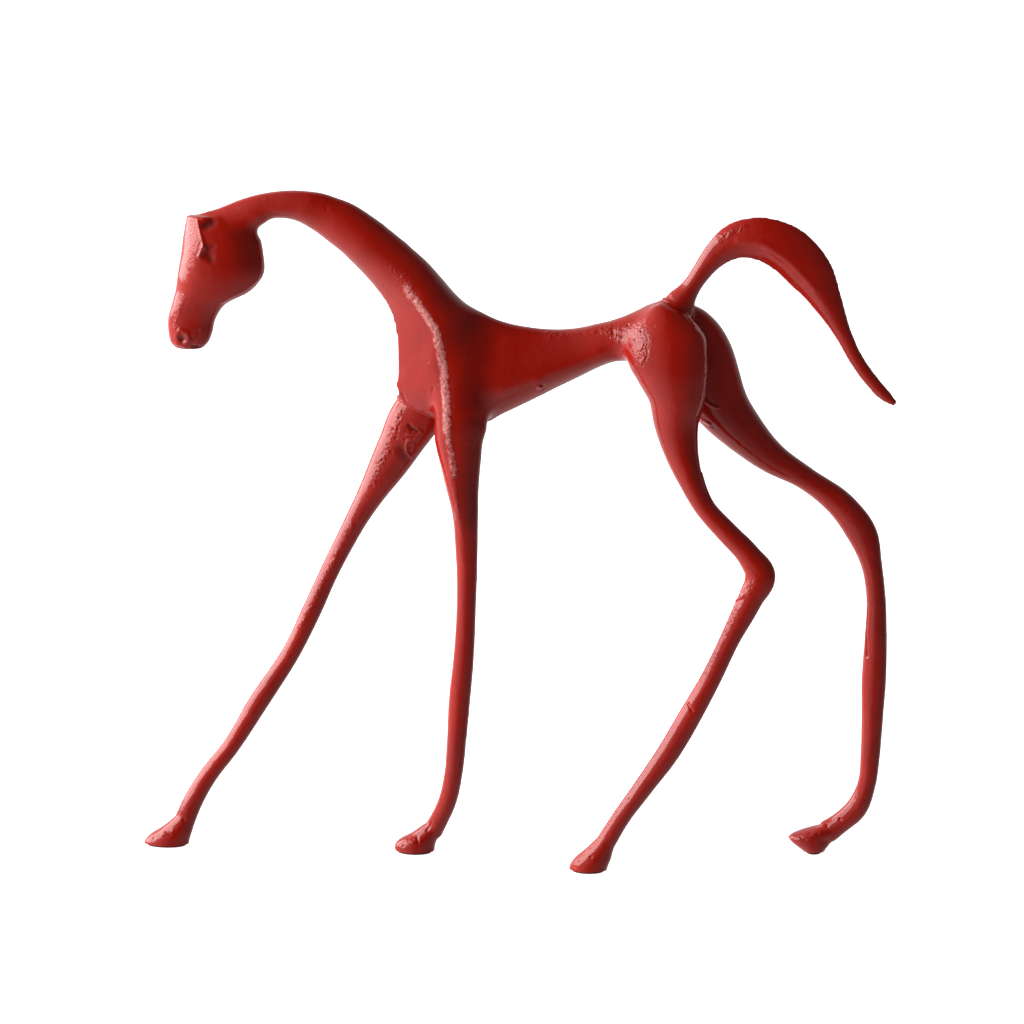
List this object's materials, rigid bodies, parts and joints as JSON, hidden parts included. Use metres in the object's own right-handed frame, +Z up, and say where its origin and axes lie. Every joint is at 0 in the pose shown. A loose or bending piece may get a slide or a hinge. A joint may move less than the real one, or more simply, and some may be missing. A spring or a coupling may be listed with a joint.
{
  "type": "foal figurine",
  "caption": "Long-legged striding foal ornament of cast, pinned and welded metal with an arched neck and tail, lacquered red, on thin rubber hoof pads.",
  "frame": {"origin": "middle of the bounding box's base, on the surface that the hoof pads stand on", "axes": "+Z up, -X the way the head points, +X towards the tail, -Y the near side that the picture shows"},
  "size_m": [0.4038, 0.0586, 0.3612],
  "materials": {
    "red_lacquer": "gloss red lacquer over rough cast metal",
    "dowel_steel": "plain ground steel",
    "pad_rubber": "matt black"
  },
  "bodies": {
    "root": {"head": "red_lacquer", "neck": "red_lacquer", "torso": "red_lacquer", "near_foreleg": "red_lacquer", "far_foreleg": "red_lacquer", "near_hind_leg": "red_lacquer", "far_hind_leg": "red_lacquer", "tail": "red_lacquer", "far_foreleg_weld": "red_lacquer", "tail_weld": "red_lacquer", "crotch_weld": "red_lacquer", "belly_plug": "red_lacquer", "head_dowel": "dowel_steel", "neck_dowel": "dowel_steel", "near_foreleg_dowel": "dowel_steel", "far_foreleg_dowel": "dowel_steel", "near_loin_dowel": "dowel_steel", "far_loin_dowel": "dowel_steel", "haunch_dowel": "dowel_steel", "tail_dowel": "dowel_steel", "near_fore_pad": "pad_rubber", "far_fore_pad": "pad_rubber", "near_hind_pad": "pad_rubber", "far_hind_pad": "pad_rubber"}
  },
  "joints": []
}
